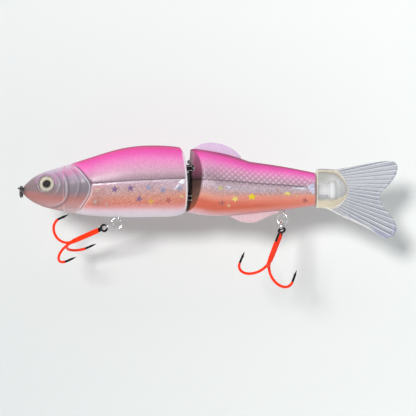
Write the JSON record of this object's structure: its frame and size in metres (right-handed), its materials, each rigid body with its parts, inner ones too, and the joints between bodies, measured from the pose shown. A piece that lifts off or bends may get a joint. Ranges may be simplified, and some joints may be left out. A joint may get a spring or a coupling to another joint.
{
  "type": "jointed swimbait",
  "caption": "Two-piece gliding swimbait with hard painted front and rear segments, a soft clear forked tail and two coated treble hooks on swivels.",
  "frame": {"origin": "centre of the line tie's eye, in front of the snout", "axes": "+X from snout to tail, +Y towards the fish's right side, +Z towards the back"},
  "size_m": [0.1785, 0.0526, 0.0676],
  "materials": {
    "front_paint": "clear-coated paint over hologram foil: hot pink back, silver-mauve flank, salmon lower flank, pearl belly",
    "rear_paint": "clear-coated paint over hologram foil with small scales: hot pink back, mauve flank, orange lower flank",
    "eye_foil": "pale gold printed foil with a black pupil",
    "eye_resin": "clear domed resin",
    "dark_wire": "darkened steel wire",
    "ring_steel": "bright nickel plate",
    "joint_steel": "grey stainless wire",
    "ballast_metal": "dull cast metal",
    "hook_coating": "fluorescent orange-red coating, bare black points and eyes",
    "fin_plastic": "translucent lavender plastic",
    "peg_plastic": "white moulded plastic",
    "soft_clear": "clear soft plastic with fine moulded rays"
  },
  "bodies": {
    "front_segment": {"front_shell_left": "front_paint", "front_shell_right": "front_paint", "left_eye_disc": "eye_foil", "left_eye_dome": "eye_resin", "right_eye_disc": "eye_foil", "right_eye_dome": "eye_resin", "line_tie": "dark_wire", "front_ballast": "ballast_metal", "upper_joint_eye": "joint_steel", "lower_joint_eye": "joint_steel"},
    "nose_ring_link": {"nose_ring": "dark_wire"},
    "front_swivel_link": {"front_swivel": "ring_steel"},
    "front_upper_ring_link": {"front_upper_ring": "ring_steel"},
    "front_lower_ring_link": {"front_lower_ring": "ring_steel"},
    "front_hook_link": {"front_treble_hook": "hook_coating"},
    "rear_segment": {"rear_shell_left": "rear_paint", "rear_shell_right": "rear_paint", "joint_pin": "joint_steel", "dorsal_fin": "fin_plastic", "anal_fin": "fin_plastic", "rear_ballast": "ballast_metal", "tail_anchor": "peg_plastic"},
    "rear_swivel_link": {"rear_swivel": "ring_steel"},
    "rear_upper_ring_link": {"rear_upper_ring": "ring_steel"},
    "rear_lower_ring_link": {"rear_lower_ring": "ring_steel"},
    "rear_hook_link": {"rear_treble_hook": "hook_coating"},
    "tail_fan": {"soft_tail": "soft_clear"}
  },
  "joints": [
    {"name": "centre_joint", "type": "hinge", "parent": "front_segment", "child": "rear_segment", "pos_m": [0.0805, 0, 0.0025], "axis": [0, 0, 1], "range_deg": [-30, 30]},
    {"name": "tail_flex", "type": "hinge", "parent": "rear_segment", "child": "tail_fan", "pos_m": [0.141, 0, -0.0008], "axis": [0, 0, 1], "range_deg": [-25, 25], "stiffness_Nm_per_rad": 0.02, "deforming": ["soft_tail"]},
    {"name": "nose_ring_swing", "type": "hinge", "parent": "front_segment", "child": "nose_ring_link", "pos_m": [-0.00025, -0.00178, 0], "axis": [1, 0, 0], "range_deg": [-60, 12]},
    {"name": "front_swivel_turn", "type": "hinge", "parent": "front_segment", "child": "front_swivel_link", "pos_m": [0.0453, 0, -0.011], "axis": [0, 0, 1], "continuous": true},
    {"name": "front_upper_ring_swing", "type": "hinge", "parent": "front_swivel_link", "child": "front_upper_ring_link", "pos_m": [0.0453, 0, -0.01525], "axis": [0, 1, 0], "range_deg": [-84, 0]},
    {"name": "front_lower_ring_swing", "type": "hinge", "parent": "front_upper_ring_link", "child": "front_lower_ring_link", "pos_m": [0.04191, 0, -0.01726], "axis": [0.342, 0, -0.9397], "range_deg": [-60, 12]},
    {"name": "front_hook_swing", "type": "hinge", "parent": "front_lower_ring_link", "child": "front_hook_link", "pos_m": [0.03848, 0.00174, -0.01851], "axis": [0.4045, 0.9026, 0.1472], "range_deg": [-90, 4]},
    {"name": "rear_swivel_turn", "type": "hinge", "parent": "rear_segment", "child": "rear_swivel_link", "pos_m": [0.1231, 0, -0.008], "axis": [0, 0, 1], "continuous": true},
    {"name": "rear_upper_ring_swing", "type": "hinge", "parent": "rear_swivel_link", "child": "rear_upper_ring_link", "pos_m": [0.1231, 0, -0.0131], "axis": [0.342, 0.9397, 0], "range_deg": [-80, 20]},
    {"name": "rear_lower_ring_swing", "type": "hinge", "parent": "rear_upper_ring_link", "child": "rear_lower_ring_link", "pos_m": [0.12249, 0.00022, -0.01676], "axis": [0.9305, -0.3387, 0.1392], "range_deg": [-5, 90]},
    {"name": "rear_hook_swing", "type": "hinge", "parent": "rear_lower_ring_link", "child": "rear_hook_link", "pos_m": [0.12182, -0.00274, -0.01945], "axis": [0.326, 0.5934, -0.7359], "range_deg": [-60, 50]}
  ]
}
